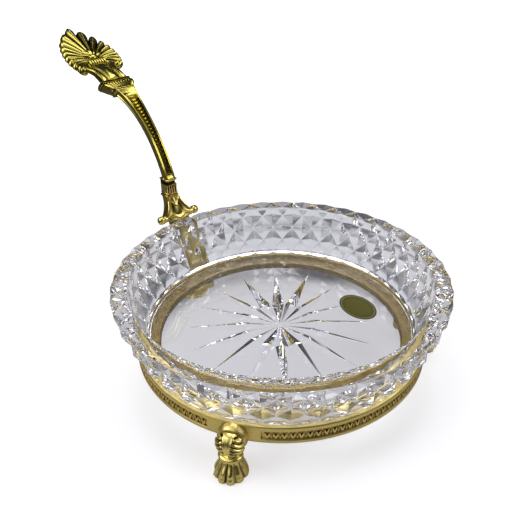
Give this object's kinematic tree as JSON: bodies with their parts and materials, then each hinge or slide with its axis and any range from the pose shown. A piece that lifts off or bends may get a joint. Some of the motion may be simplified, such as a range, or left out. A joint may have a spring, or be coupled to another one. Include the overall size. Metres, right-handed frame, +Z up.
{
  "type": "trinket dish",
  "caption": "Shallow bowl of diamond-cut crystal that sits loose in a gilt brass ring on paw feet, with a tall palmette handle rising behind it.",
  "frame": {"origin": "centre of the bounding box, at the level of the soles of the feet", "axes": "+X from the bowl towards the tip of the handle, +Z up, +Y across"},
  "size_m": [0.2636, 0.1498, 0.1288],
  "materials": {
    "gilt_brass": "polished, darkened in the recesses",
    "satin_brass": "satin",
    "screw_brass": "turned",
    "crystal": "cut and polished",
    "foil": "printed foil"
  },
  "bodies": {
    "mount": {"gallery_ring": "satin_brass", "handle": "gilt_brass", "paw_foot_left": "gilt_brass", "paw_foot_right": "gilt_brass", "paw_foot_rear": "gilt_brass", "foot_screw_left": "screw_brass", "foot_screw_right": "screw_brass", "foot_screw_rear": "screw_brass", "handle_screw_left": "screw_brass", "handle_screw_right": "screw_brass"},
    "bowl": {"glass_bowl": "crystal", "foil_label": "foil"}
  },
  "joints": [
    {"name": "bowl_lift", "type": "slide", "parent": "mount", "child": "bowl", "axis": [0, 0, 1], "range_m": [0, 0.04]}
  ]
}
